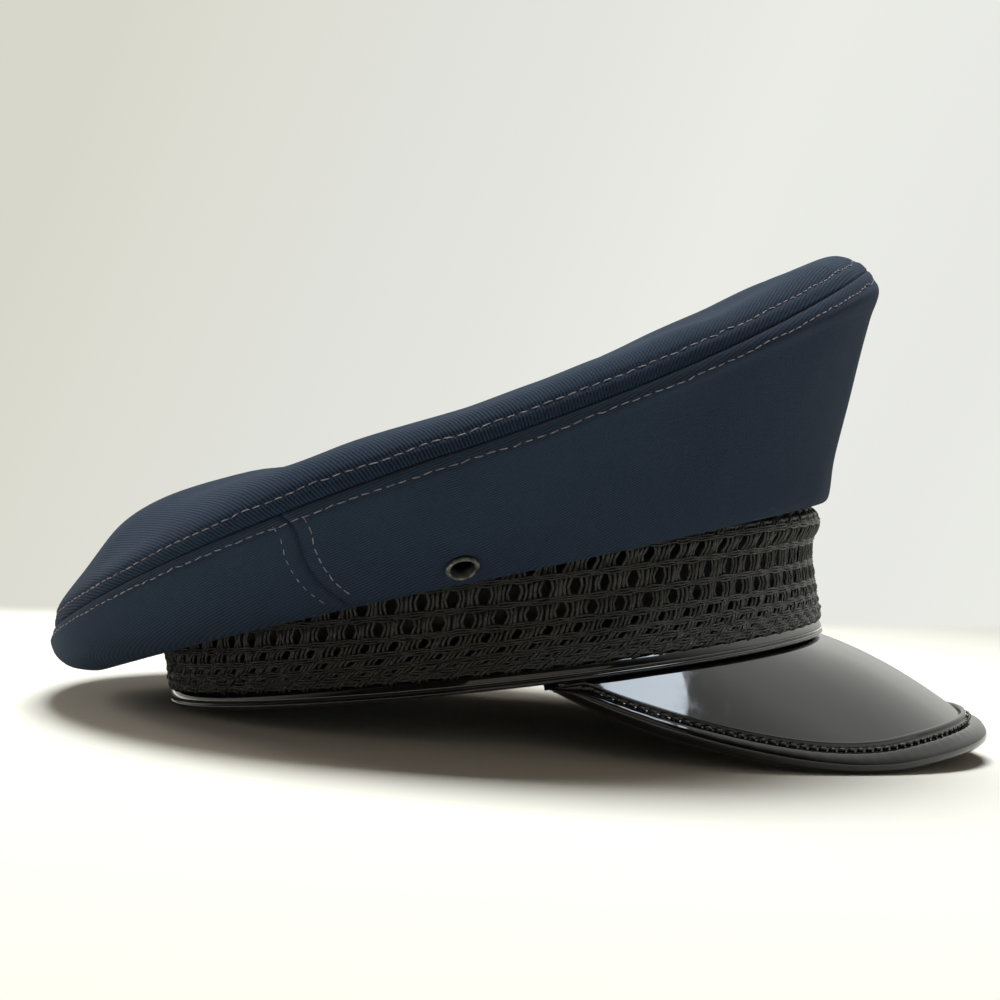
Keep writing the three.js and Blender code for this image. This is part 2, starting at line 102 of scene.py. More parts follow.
# The woven band: height, distance outside the head oval, and what is added at the back.
BAND_PROFILE = (
    (1.6, -1.6, 0.0),
    (5.2, 0.9, 0.0),
    (12.4, 0.6, 0.6),
    (26.4, 0.5, 1.8),
    (30.4, 1.6, 2.4),
    (34.8, 4.0, 2.8),
    (38.4, 2.7, 2.8),
    (40.8, 0.4, 2.8),
)
BAND_WALL = 1.8
LINING_ROOM = 0.8  # between the woven band and the sweatband
WEAVE_COLUMNS = 75
ROW_LINES = (4.6, 6.8, 9.4, 12.7, 17.0, 23.0, 29.6, 35.6, 40.2)
ROW_SHIFT = 0.46  # columns by which each row of bundles stands off from the one below
STRANDS = 5
STRAND_WIDTH, STRAND_DEPTH = 0.56, 0.42  # half sizes of one straw of a bundle
PINCH = 0.42  # how far a tall bundle narrows at its waist
CORD = (0.38, 0.42)  # half height and half depth of a level cord
ROLL_LINES = ((40.3, -0.9), (38.9, -0.1), (37.4, 0.3))  # height and lift of the rolled edge
ROLL_CORD = (0.8, 0.6)

# The peak and its binding.
PEAK_END = 81.5  # degrees from the front at which the peak runs out under the band
PEAK_TUCK = 4.5  # how far its root runs in under the band
PEAK_TIP = 152.2
PEAK_ROOT = 14.0  # x of the two ends of its outer edge
PEAK_HALF_WIDTH = 88.5
PEAK_DROP = 36.8  # how far the tip hangs below the band's edge
PEAK_DROP_SPAN = 50.0  # degrees over which it drops, of the 90 from each end to the tip
PEAK_DROP_SHAPE = 0.9
PEAK_ARCH = 3.6  # rise of the face over a straight line from band to tip
PEAK_WALL = 1.6
EDGE_START = 1.0
EDGE_TUCK = 6.5  # how far the ends of the edge run in under the band
EDGE_WIDTH = 8.2
END_ROOM = 1.0  # lacquered face left beside the binding at the peak's ends
EDGE_LENGTH = 240.0
PEAK_TUCKED = 0.08  # share of the peak's rows that lie under the band
GROOVE = 5.9  # distance of the stitched groove from the outer edge
PEAK_STITCH = 3.3
PEAK_STITCH_LENGTH = 2.9
PEAK_THREAD = 0.46

EYELET_AZIMUTH = 88.0  # degrees from the front
EYELET_RISE = 0.11  # share of the wall above its fold
EYELET_ROOM = 6.0  # reach of the finer faces round each hole
EYELET_HOLE = 3.6
EYELET_PRESS = 0.82  # the rim is pressed a little oval
EYELET_TILT = math.radians(14)  # the pressed oval of the eyelet rises to the front
# The rolled rim's section: radius and height over the cloth.
EYELET_SECTION = ((3.25, -2.4), (3.3, 0.5), (3.5, 1.05), (3.9, 1.35), (4.3, 1.25),
                  (4.65, 0.85), (4.75, 0.4), (4.5, 0.25), (3.9, 0.2), (3.8, -2.4))


# Curves shared by the pieces

def signed_power(value, power):
    return math.copysign(abs(value) ** power, value)


def head_oval(turn, out, z):
    """A point of the head oval, moved outwards in plan by out."""
    a = BAND_LENGTH / 2
    b = BAND_WIDTH / 2 * (1 - BAND_NARROWING * math.cos(turn))
    x, y = a * math.cos(turn), b * math.sin(turn)
    normal = Vector((x / (a * a), y / (b * b))).normalized()
    return Vector((x + normal.x * out, y + normal.y * out, z))


@lru_cache(maxsize=None)
def heights_as_waves(values):
    """The smooth even curve round the cap through five values, 45 degrees apart, as
    the sizes of its cosine waves."""
    last = len(values) - 1
    sizes = []
    for wave in range(last + 1):
        share = 0.0
        for i, value in enumerate(values):
            ends = 0.5 if i in (0, last) else 1.0
            share += ends * value * math.cos(math.pi * wave * i / last) * 2 / last
        sizes.append((0.5 if wave in (0, last) else 1.0) * share)
    return sizes


def ring_points(rings, turn):
    """The point of each ring of the crown at one turn."""
    power = 2 / PLAN_ROUNDNESS
    along = signed_power(math.cos(turn), power)
    across = signed_power(math.sin(turn), power)
    waves = [math.cos(wave * turn) for wave in range(5)]
    points = []
    for front, rear, half, *heights in rings:
        sizes = heights_as_waves(tuple(heights))
        x = (front - rear) / 2 + (front + rear) / 2 * along
        z = sum(size * wave for size, wave in zip(sizes, waves))
        points.append(Vector((x, half * across, z)))
    return points


def through(points, place):
    """Smooth curve through the points without overshoot; place counts the points."""
    k = min(int(place), len(points) - 2)
    share = place - k
    p1, p2 = points[k], points[k + 1]
    p0 = points[k - 1] if k > 0 else p1 * 2 - p2
    p3 = points[k + 2] if k + 2 < len(points) else p2 * 2 - p1
    steps = [max((b - a).length, 0.01) ** 0.5 for a, b in ((p0, p1), (p1, p2), (p2, p3))]
    t1 = steps[0]
    t2 = t1 + steps[1]
    t3 = t2 + steps[2]
    t = t1 + (t2 - t1) * share
    a1 = p0.lerp(p1, t / t1)
    a2 = p1.lerp(p2, (t - t1) / (t2 - t1))
    a3 = p2.lerp(p3, (t - t2) / (t3 - t2))
    b1 = a1.lerp(a2, t / t2)
    b2 = a2.lerp(a3, (t - t1) / (t3 - t1))
    return b1.lerp(b2, (t - t1) / (t2 - t1))


def bell(distance, width):
    return math.exp(-(distance / width) ** 2)


def normal_of(surface, u, v, step_u, step_v):
    """Outward direction of a surface(u, v) whose u runs round and v runs up."""
    across = surface(u + step_u, v) - surface(u - step_u, v)
    up = surface(u, v + step_v) - surface(u, v - step_v)
    return across.cross(up).normalized()


# Meshes

def mapped_grid(across, up, surface, fabric):
    """A grid whose points run round and up a surface, with the cloth's own
    millimetres kept as its UV map."""
    bm = bmesh.new()
    uv = bm.loops.layers.uv.new("UVMap")
    bmesh.ops.create_grid(bm, x_segments=across, y_segments=up, size=0.5)
    for face in bm.faces:
        for loop in face.loops:
            u, v = loop.vert.co.x + 0.5, loop.vert.co.y + 0.5
            loop[uv].uv = fabric(u, v)
    for vert in bm.verts:
        vert.co = surface(vert.co.x + 0.5, vert.co.y + 0.5)
    return bm


def threads(paths, sides, rings):
    """One closed thread for each path. A path is a list of rings + 1 pairs of a centre
    and an outward direction, with the thread's half width and half thickness."""
    seed = bmesh.new()
    bmesh.ops.create_uvsphere(seed, u_segments=sides, v_segments=rings, radius=1.0)
    template = bpy.data.meshes.new("thread_form")
    seed.to_mesh(template)
    seed.free()
    # Each vertex of the form: its ring, and its direction across the thread.
    form = [(round(math.acos(max(-1.0, min(1.0, -v.co.z))) / math.pi * rings),
             Vector((v.co.x, v.co.y)).normalized()) for v in template.vertices]
    bm = bmesh.new()
    for _ in paths:
        bm.from_mesh(template)
    bpy.data.meshes.remove(template)
    bm.verts.ensure_lookup_table()
    count = len(form)
    for index, (points, width, thickness) in enumerate(paths):
        sections = []
        for k, (centre, outward) in enumerate(points):
            ahead = points[min(k + 1, rings)][0] - points[max(k - 1, 0)][0]
            side = ahead.cross(outward).normalized()
            sections.append((centre, side * width, side.cross(ahead).normalized() * thickness))
        for j, (k, spoke) in enumerate(form):
            centre, side, rise = sections[k]
            bm.verts[index * count + j].co = centre + side * spoke.x + rise * spoke.y
    bm.normal_update()
    bmesh.ops.recalc_face_normals(bm, faces=bm.faces)
    return bm


def finished(name, bm, material, replaces=()):
    """Makes the mesh a piece of the cap, tilted as the cap rests and in metres."""
    rest = (Matrix.Translation(REST_SHIFT * MM) @ Matrix.Rotation(-REST_PITCH, 4, "Y")
            @ Matrix.Scale(MM, 4))
    bmesh.ops.transform(bm, matrix=rest, verts=bm.verts)
    for face in bm.faces:
        face.smooth = True
    mesh = bpy.data.meshes.new(name)
    bm.to_mesh(mesh)
    bm.free()
    mesh.materials.append(material)
    piece = bpy.data.objects.new(name, mesh)
    bpy.context.scene.collection.objects.link(piece)
    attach(piece, "root")
    if replaces:
        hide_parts(*replaces)
    return piece


def wall(piece, thickness):
    """Gives a sheet its real thickness, inwards."""
    solid = piece.modifiers.new("thickness", "SOLIDIFY")
    solid.thickness = thickness * MM
    solid.offset = -1.0
    solid.use_even_offset = True
    return piece


# Materials

def linear(hex_colour):
    """sRGB hex to the linear colour that the shader takes."""
    parts = [int(hex_colour[i:i + 2], 16) / 255 for i in (1, 3, 5)]
    return [p / 12.92 if p <= 0.04045 else ((p + 0.055) / 1.055) ** 2.4 for p in parts] + [1.0]


def node(tree, kind, inputs=None, stops=(), **settings):
    """Adds a node, sets its properties and a ramp's stops, and sets or links its inputs."""
    made = tree.nodes.new(kind)
    for index, (position, colour) in enumerate(stops):
        elements = made.color_ramp.elements
        element = elements[index] if index < 2 else elements.new(position)
        element.position = position
        element.color = linear(colour)
    for key, value in settings.items():
        setattr(made, key, value)
    for key, value in (inputs or {}).items():
        socket = made.inputs[key]
        if isinstance(value, bpy.types.NodeSocket):
            tree.links.new(value, socket)
        else:
            socket.default_value = value
    return made


def new_material(name, **shader):
    material = bpy.data.materials.new(name)
    material.use_nodes = True
    tree = material.node_tree
    tree.nodes.clear()
    surface = node(tree, "ShaderNodeBsdfPrincipled", shader)
    node(tree, "ShaderNodeOutputMaterial", {"Surface": surface.outputs[0]})
    return material, tree, surface


def wave_scale(period_mm):
    """Scale at which a Wave texture on metres repeats after that many millimetres."""
    return 2 * math.pi / (20 * period_mm * MM)


def grain_scale(grain_mm):
    """Scale at which a noise or cell texture on metres has grains of that many
    millimetres, to two figures."""
    return float(f"{1 / (grain_mm * MM):.2g}")


def twill(name, rib_mm, rib_turns, crossing, dark, light, relief):
    """Worsted wool and polyester twill, woven with steep ribs and pressed: it looks
    matte with fine slanted ribs, and a soft bluish bloom where it turns away. The ribs
    are drawn a little coarser than the real 0.7 mm, so that they show. The first slant
    shows at the back of the cap and the second at the front; crossing holds the two
    places in metres between which one gives way to the other."""
    material, tree, surface = new_material(name, **{
        "Roughness": 0.85, "IOR": 1.45, "Specular IOR Level": 0.12,
        "Sheen Weight": 0.05, "Sheen Roughness": 0.5, "Sheen Tint": linear("#8ea3c4"),
    })
    cloth = node(tree, "ShaderNodeUVMap", uv_map="UVMap").outputs[0]
    spot = node(tree, "ShaderNodeTexCoord").outputs["Object"]
    waves = []
    for turn in rib_turns:
        turned = node(tree, "ShaderNodeMapping", {
            "Vector": cloth, "Rotation": (0.0, 0.0, math.radians(turn))})
        waves.append(node(tree, "ShaderNodeTexWave", {
            "Vector": turned.outputs[0], "Scale": wave_scale(rib_mm), "Distortion": 0.9,
            "Detail": 1.0, "Detail Scale": 1.4}, wave_type="BANDS").outputs["Fac"])
    along = node(tree, "ShaderNodeSeparateXYZ", {"Vector": spot})
    forward = node(tree, "ShaderNodeMapRange", {
        "Value": along.outputs["X"], "From Min": crossing[0], "From Max": crossing[1],
        "To Min": 0.12, "To Max": 0.88})
    weave = node(tree, "ShaderNodeMix", {
        "Factor": forward.outputs[0], "A": waves[0], "B": waves[1]}, data_type="FLOAT")
    fuzz = node(tree, "ShaderNodeTexNoise", {
        "Vector": spot, "Scale": grain_scale(0.77), "Detail": 3.0})
    shade = node(tree, "ShaderNodeTexNoise", {
        "Vector": spot, "Scale": grain_scale(36), "Detail": 3.0})
    tone = node(tree, "ShaderNodeMix", {
        "Factor": 0.4, "A": weave.outputs[0], "B": fuzz.outputs["Fac"]}, data_type="FLOAT")
    cloth_tone = node(tree, "ShaderNodeMix", {
        "Factor": 0.2, "A": tone.outputs[0], "B": shade.outputs["Fac"]}, data_type="FLOAT")
    colour = node(tree, "ShaderNodeValToRGB", {"Fac": cloth_tone.outputs[0]},
                  stops=((0.2, dark), (0.75, light)))
    tree.links.new(colour.outputs["Color"], surface.inputs["Base Color"])
    height = node(tree, "ShaderNodeMath", {
        0: weave.outputs[0], 1: fuzz.outputs["Fac"]}, operation="ADD")
    bump = node(tree, "ShaderNodeBump", {
        "Height": height.outputs[0], "Strength": relief, "Distance": 0.12 * MM})
    tree.links.new(bump.outputs[0], surface.inputs["Normal"])
    return material


def spun_thread():
    """Spun polyester sewing thread, pale against the navy: dull, with a fine twist."""
    material, tree, surface = new_material("spun_polyester_thread", **{
        "Roughness": 0.7, "IOR": 1.5, "Specular IOR Level": 0.3})
    spot = node(tree, "ShaderNodeTexCoord").outputs["Object"]
    twist = node(tree, "ShaderNodeTexNoise", {
        "Vector": spot, "Scale": grain_scale(1.11), "Detail": 2.0})
    colour = node(tree, "ShaderNodeValToRGB", {"Fac": twist.outputs["Fac"]},
                  stops=((0.3, "#5b5861"), (0.7, "#9c97a0")))
    tree.links.new(colour.outputs["Color"], surface.inputs["Base Color"])
    return material


def synthetic_straw():
    """Extruded synthetic straw, netted and left unpolished: black to a dark olive grey, mottled in
    fine fibres and broader patches, with small waxy glints along each cord."""
    material, tree, surface = new_material("netted_synthetic_straw", **{
        "Roughness": 0.36, "IOR": 1.5, "Specular IOR Level": 0.5})
    spot = node(tree, "ShaderNodeTexCoord").outputs["Object"]
    fibre = node(tree, "ShaderNodeTexNoise", {
        "Vector": spot, "Scale": grain_scale(0.91), "Detail": 5.0})
    patch = node(tree, "ShaderNodeTexNoise", {
        "Vector": spot, "Scale": grain_scale(11.1), "Detail": 2.0})
    tone = node(tree, "ShaderNodeMix", {
        "Factor": 0.4, "A": fibre.outputs["Fac"], "B": patch.outputs["Fac"]},
        data_type="FLOAT")
    colour = node(tree, "ShaderNodeValToRGB", {"Fac": tone.outputs[0]},
                  stops=((0.3, "#0f100f"), (0.7, "#333431")))
    tree.links.new(colour.outputs["Color"], surface.inputs["Base Color"])
    bump = node(tree, "ShaderNodeBump", {
        "Height": fibre.outputs["Fac"], "Strength": 1.0, "Distance": 0.4 * MM})
    tree.links.new(bump.outputs[0], surface.inputs["Normal"])
    return material


def patent(name, ripple, lacquer):
    """Patent leather, lacquered over a smooth black base: a wet gloss, with slow
    ripples in what it mirrors and a little dust."""
    material, tree, surface = new_material(name, **{
        "IOR": 1.52, "Specular IOR Level": 0.5, "Coat Weight": lacquer, "Coat Roughness": 0.03})
    spot = node(tree, "ShaderNodeTexCoord").outputs["Object"]
    swell = node(tree, "ShaderNodeTexNoise", {
        "Vector": spot, "Scale": grain_scale(22), "Detail": 1.0})
    dust = node(tree, "ShaderNodeTexNoise", {
        "Vector": spot, "Scale": grain_scale(3.85), "Detail": 5.0})
    rough = node(tree, "ShaderNodeMapRange", {
        "Value": dust.outputs["Fac"], "From Min": 0.45, "From Max": 0.8,
        "To Min": 0.05, "To Max": 0.16})
    tree.links.new(rough.outputs[0], surface.inputs["Roughness"])
    colour = node(tree, "ShaderNodeValToRGB", {"Fac": dust.outputs["Fac"]},
                  stops=((0.4, "#050506"), (0.85, "#101011")))
    tree.links.new(colour.outputs["Color"], surface.inputs["Base Color"])
    bump = node(tree, "ShaderNodeBump", {
        "Height": swell.outputs["Fac"], "Strength": ripple, "Distance": 0.8 * MM})
    tree.links.new(bump.outputs[0], surface.inputs["Normal"])
    return material


def sweat_leather():
    """Grain sheepskin, vegetable tanned: dark brown, softly shining on its pebbles."""
    material, tree, surface = new_material("grain_sheepskin", **{
        "Roughness": 0.55, "IOR": 1.5, "Specular IOR Level": 0.4})
    spot = node(tree, "ShaderNodeTexCoord").outputs["Object"]
    grain = node(tree, "ShaderNodeTexVoronoi", {"Vector": spot, "Scale": grain_scale(1.11)},
                 feature="DISTANCE_TO_EDGE")
    wear = node(tree, "ShaderNodeTexNoise", {
        "Vector": spot, "Scale": grain_scale(20), "Detail": 4.0})
    colour = node(tree, "ShaderNodeValToRGB", {"Fac": wear.outputs["Fac"]},
                  stops=((0.3, "#060403"), (0.75, "#0e0906")))
    tree.links.new(colour.outputs["Color"], surface.inputs["Base Color"])
    bump = node(tree, "ShaderNodeBump", {
        "Height": grain.outputs["Distance"], "Strength": 0.5, "Distance": 0.2 * MM})
    tree.links.new(bump.outputs[0], surface.inputs["Normal"])
    return material


def worn_eyelet_brass():
    """Stamped brass, lacquered black and worn: the lacquer is rubbed thin in random patches, which
    run from near black to a dull grey."""
    material, tree, surface = new_material("black_lacquered_brass", **{
        "Roughness": 0.38, "Metallic": 0.55})
    spot = node(tree, "ShaderNodeTexCoord").outputs["Object"]
    wear = node(tree, "ShaderNodeTexNoise", {
        "Vector": spot, "Scale": grain_scale(2.4), "Detail": 5.0})
    colour = node(tree, "ShaderNodeValToRGB", {"Fac": wear.outputs["Fac"]},
                  stops=((0.32, "#26292a"), (0.5, "#5c5f5e"), (0.75, "#94968f")))
    tree.links.new(colour.outputs["Color"], surface.inputs["Base Color"])
    bump = node(tree, "ShaderNodeBump", {
        "Height": wear.outputs["Fac"], "Strength": 0.4, "Distance": 0.2 * MM})
    tree.links.new(bump.outputs[0], surface.inputs["Normal"])
    return material


# The crown

def seam_turn(share):
    """Where the side seam lies, for a share of the way from the seat to the welt."""
    below = min(1.0, max(0.0, (1 - share) / SEAM_BEND))
    return math.radians(SEAM_TOP + (SEAM_BOTTOM - SEAM_TOP) * below ** SEAM_CURVE)


@lru_cache(maxsize=4096)
def wall_line(turn):
    return ring_points(WALL_RINGS, turn)


@lru_cache(maxsize=4096)
def top_line(turn):
    return ring_points(TOP_RINGS, turn)


def wall_base(turn, share):
    """The crown's wall without its softness: share runs from the seat to the welt."""
    return through(wall_line(turn), share * (len(WALL_RINGS) - 1))


def row_distance(row, turn):
    return row[0] + row[1] * math.cos(turn)


def stitch_ripple(turn, point):
    """The ripple along a stitch row at the welt: one wave for each stitch, a little uneven."""
    stitches = turn * WELT_REACH / STITCH_PITCH
    return math.sin(stitches * 2 * math.pi + noise.noise(point * 0.2) * 5)


def rolled_edge(distance, row):
    """How far cloth lies below its face near the seam where it turns under, and how it
    puffs up between that seam and the stitch row that holds it down."""
    turned = 0.5 * max(0.0, 1 - distance / 0.8) ** 2
    held = 0.3 * bell(distance - row, 1.0)
    puffed = 0.12 * bell(distance - row / 2 - 0.2, 1.5)
    return puffed - turned - held


def wall_surface(turn, share):
    """The crown's wall with its turned edges, held seams and soft unevenness."""
    line = wall_line(turn)
    last = len(line) - 1
    point = through(line, share * last)
    normal = normal_of(wall_base, turn, share, 0.01, 0.004)
    from_welt = (line[last] - point).length if share > 0.6 else 99.0  # 99: far away
    lift = rolled_edge(from_welt, row_distance(WALL_ROW, turn))
    side = abs(turn if turn <= math.pi else turn - 2 * math.pi)
    from_seam = (side - seam_turn(share)) * SIDE_REACH
    below = min(1.0, max(0.0, share * last - FOLD_RING + 0.6))
    fade = below * min(1.0, from_welt / 4.0)
    lift += fade * (0.2 * bell(abs(from_seam) - 1.7, 1.1) - 0.45 * bell(from_seam, 0.7)
                    - 0.35 * bell(from_seam + SEAM_STITCHES[0], 0.9)
                    - 0.35 * bell(from_seam + SEAM_STITCHES[1], 0.9))
    soft = noise.noise(point * 0.021) * 1.3 + noise.noise(point * 0.06) * 0.35
    lift += soft * below * min(1.0, from_welt / 12.0)
    pucker = stitch_ripple(turn, point)
    lift += PUCKER * pucker * bell(from_welt - WALL_ROW[0], 2.6)
    return point + normal * lift


def top_base(turn, share):
    """The top panel: share runs from the welt seam to the middle."""
    line = top_line(turn)
    place = share * (len(line) - 1)
    point = through(line, place)
    fade = min(1.0, place / 3)
    for x, reach, depth in TOP_DENTS:
        point.z -= depth * fade * bell(point.x - x, reach) * bell(point.y, 110.0)
    return point


def top_surface(turn, share):
    """The top panel with its turned edge, held seam and soft folds."""
    share = min(max(share, 0.0), 0.9995)
    point = top_base(turn, share)
    normal = -normal_of(top_base, turn, share, 0.01, -0.004)
    if normal.z < 0 and share > 0.2:
        normal = -normal
    from_welt = (top_line(turn)[0] - point).length
    lift = rolled_edge(from_welt, row_distance(TOP_ROW, turn))
    soft = noise.noise(point * 0.02 + Vector((7, 3, 1))) * 2.2
    soft += noise.noise(point * 0.055) * 0.5
    lift += soft * min(1.0, from_welt / 14.0)
    pucker = stitch_ripple(turn, point)
    lift += PUCKER * pucker * bell(from_welt - TOP_ROW[0], 2.6)
    return point + normal * lift


def crown_top(material):
    """The top panel, drawn together in one point in its middle."""
    across, up = 420, 76

    def spread(v):
        return v ** 1.5  # finer rows towards the welt

    def fabric(u, v):
        """The cloth laid flat: its plan, let out by what falls over the edge."""
        turn = 2 * math.pi * u
        point = top_base(turn, spread(v))
        line = top_line(turn)
        drop = 0.0
        place = spread(v) * (len(line) - 1)
        if place < 3:
            k = int(place)
            chords = [line[k + 1] - point] + [line[i + 1] - line[i] for i in range(k + 1, 3)]
            drop = sum(c.length - c.xy.length for c in chords)
        return (point.xy + point.xy.normalized() * drop) * MM

    bm = mapped_grid(across, up, lambda u, v: top_surface(2 * math.pi * u, spread(v)), fabric)
    bmesh.ops.remove_doubles(bm, verts=bm.verts, dist=0.02)
    middle = top_surface(0.0, 1.0)
    last_row = [v for v in bm.verts if (v.co - middle).length < 1.0]
    bmesh.ops.remove_doubles(bm, verts=last_row, dist=1.0)
    return wall(finished("crown_top_cloth", bm, material, ("crown_top",)), CLOTH)


def eyelet_place(side):
    """Centre and outward direction of the air eyelet on that side."""
    rows = len(WALL_RINGS) - 1
    turn = math.radians(EYELET_AZIMUTH) * side
    share = (FOLD_RING + EYELET_RISE * (rows - FOLD_RING)) / rows
    centre = wall_base(turn, share)
    return centre, normal_of(wall_base, turn, share, 0.02, 0.01)


def cut_eyelet_holes(bm):
    """Opens the cloth under both eyelets, with fine faces round the cut."""
    for side in (1, -1):
        centre, normal = eyelet_place(side)
        near = [e for e in bm.edges if (e.verts[0].co - centre).length < EYELET_ROOM]
        bmesh.ops.subdivide_edges(bm, edges=near, cuts=3, use_grid_fill=True)
        inside = [f for f in bm.faces if (f.calc_center_median() - centre).length < EYELET_HOLE]
        bmesh.ops.delete(bm, geom=inside, context="FACES")


def crown_side(name, from_seam, to_seam, across, material, node_name, with_eyelets):
    """One panel of the crown's wall, between two seams."""
    def turn_at(u, v):
        start, end = from_seam(v), to_seam(v)
        return start + (end - start) * u

    def surface(u, v):
        return wall_surface(turn_at(u, v), v)

    def fabric(u, v):
        turn = turn_at(u, v)
        return (turn * FABRIC_REACH, wall_base(turn, v).z * FABRIC_RISE * MM)

    bm = mapped_grid(across, 84, surface, fabric)
    if with_eyelets:
        cut_eyelet_holes(bm)
    return wall(finished(name, bm, material, (node_name,)), CLOTH)


def crown_sides(material):
    """The front panel, with both air eyelets, and the rear panel."""
    crown_side("crown_side_front_cloth", lambda s: -seam_turn(s), seam_turn, 240,
               material, "crown_side_front", True)
    crown_side("crown_side_rear_cloth", seam_turn, lambda s: 2 * math.pi - seam_turn(s), 170,
               material, "crown_side_rear", False)


def stitch_row(line, wander, pitch=STITCH_PITCH, length=STITCH_LENGTH, thread=THREAD):
    """Paths of single stitches along a line of (point, outward) pairs."""
    lengths = [0.0]
    for (a, _), (b, _) in zip(line, line[1:]):
        lengths.append(lengths[-1] + (b - a).length)

    def at(distance):
        k = next((i for i, d in enumerate(lengths) if d >= distance), len(lengths) - 1)
        k = max(k, 1)
        share = (distance - lengths[k - 1]) / max(lengths[k] - lengths[k - 1], 1e-6)
        share = min(max(share, 0.0), 1.0)
        return (line[k - 1][0].lerp(line[k][0], share),
                line[k - 1][1].lerp(line[k][1], share).normalized())

    paths = []
    for i in range(int(lengths[-1] / pitch)):
        start = i * pitch + 0.1
        tilt = noise.noise(Vector((i * 0.73, wander, 0.0))) * 0.55
        sink = noise.noise(Vector((i * 0.37, wander, 5.0))) * 0.12
        ahead = at(start + length)[0] - at(start)[0]
        points = []
        for k in range(5):
            share = k / 4
            centre, outward = at(start + length * share)
            side = ahead.cross(outward).normalized()
            arch = math.sin(math.pi * share)
            points.append((centre + outward * (thread * (1.2 * arch - 0.4) + sink)
                           + side * tilt * (share - 0.5) * 2, outward))
        paths.append((points, thread, thread * 0.8))
    return paths


def row_share(surface, edge_share, direction, turn, distance):
    """The share at which a surface is that far from its welt edge."""
    edge = surface(turn, edge_share)
    low, high = 0.0, 0.25
    for _ in range(14):
        middle = (low + high) / 2
        if (surface(turn, edge_share + direction * middle) - edge).length < distance:
            low = middle
        else:
            high = middle
    return edge_share + direction * low


def seam_tape(material):
    """The folded cloth that closes the welt seam from inside."""
    bm = bmesh.new()

    def centre(turn):
        edge = top_line(turn)[0]
        return edge - band_outward(turn) * 2.0 - Vector((0, 0, 0.6))

    closed_cord(bm, 300, 8, centre, band_outward, *WELT_FOLD)
    return finished("welt_seam_fold", bm, material)


def welt_stitches(material):
    """A stitch row on each side of the welt seam, wandering a little."""
    paths = []
    for surface, base, edge, direction, row in (
            (top_surface, top_base, 0.0, 1, TOP_ROW), (wall_surface, wall_base, 1.0, -1, WALL_ROW)):
        line = []
        for i in range(361):
            turn = 2 * math.pi * i / 360
            spot = Vector((math.cos(turn) * 14, math.sin(turn) * 14, direction))
            drift = 0.6 * noise.noise(spot) + 0.35 * noise.noise(spot * 2.7)
            share = row_share(base, edge, direction, turn, row_distance(row, turn) + drift)
            point = surface(turn, share)
            outward = normal_of(base, turn, share, 0.01, 0.004)
            line.append((point, outward))
        paths += stitch_row(line, float(direction))
    bm = threads(paths, 6, 4)
    return finished("welt_stitching", bm, material)


def side_seam_stitches(material):
    """A stitch row on each side of both side seams."""
    paths = []
    for side in (1, -1):
        for offset in SEAM_STITCHES:
            line = []
            for i in range(60):
                share = SEAM_ROW_TOP - (SEAM_ROW_TOP - SEAM_ROW_FOOT) * i / 59
                turn = side * (seam_turn(share) - offset / SIDE_REACH)
                outward = normal_of(wall_base, turn, share, 0.01, 0.004)
                line.append((wall_surface(turn, share), outward))
            paths += stitch_row(line, offset + side)
    bm = threads(paths, 6, 4)
    return finished("side_seam_stitching", bm, material)


def eyelets(material):
    """The rolled rims of both air eyelets."""
    for side, name in ((1, "left"), (-1, "right")):
        centre, normal = eyelet_place(side)
        bm = bmesh.new()
        corners = [bm.verts.new((radius, 0.0, height)) for radius, height in EYELET_SECTION]
        for corner, following in zip(corners, corners[1:] + corners[:1]):
            bm.edges.new((corner, following))
        bmesh.ops.spin(bm, geom=bm.verts[:] + bm.edges[:], cent=(0, 0, 0), axis=(0, 0, 1),
                       angle=2 * math.pi, steps=40, use_merge=True)
        bmesh.ops.recalc_face_normals(bm, faces=bm.faces)
        ahead = Vector((math.cos(EYELET_TILT), 0.0, math.sin(EYELET_TILT)))
        narrow = normal.cross(ahead - normal * ahead.dot(normal)).normalized()
        turn = Vector((0, 0, 1)).rotation_difference(normal).to_matrix().to_4x4()
        pressed = Matrix.Scale(EYELET_PRESS, 4, narrow)
        bmesh.ops.transform(bm, matrix=Matrix.Translation(centre) @ pressed @ turn,
                            verts=bm.verts)
        finished("vent_eyelet_" + name + "_rim", bm, material,
                 ("vent_eyelet_" + name,))


# The band

BAND_CURVE = [Vector((out, back, height)) for height, out, back in BAND_PROFILE]


def band_point(turn, z, lift):
    """A point of the woven band's face."""
    k = 0
    while k < len(BAND_CURVE) - 2 and BAND_CURVE[k + 1].z < z:
        k += 1
    low, high = BAND_CURVE[k].z, BAND_CURVE[k + 1].z
    share = min(max((z - low) / (high - low), 0.0), 1.0)
    spot = through(BAND_CURVE, k + share)
    rearward = ((1 - math.cos(turn)) / 2) ** 3
    return head_oval(turn, spot.x + spot.y * rearward + lift, z)


def band_outward(turn):
    return (head_oval(turn, 1, 0) - head_oval(turn, 0, 0)).normalized()


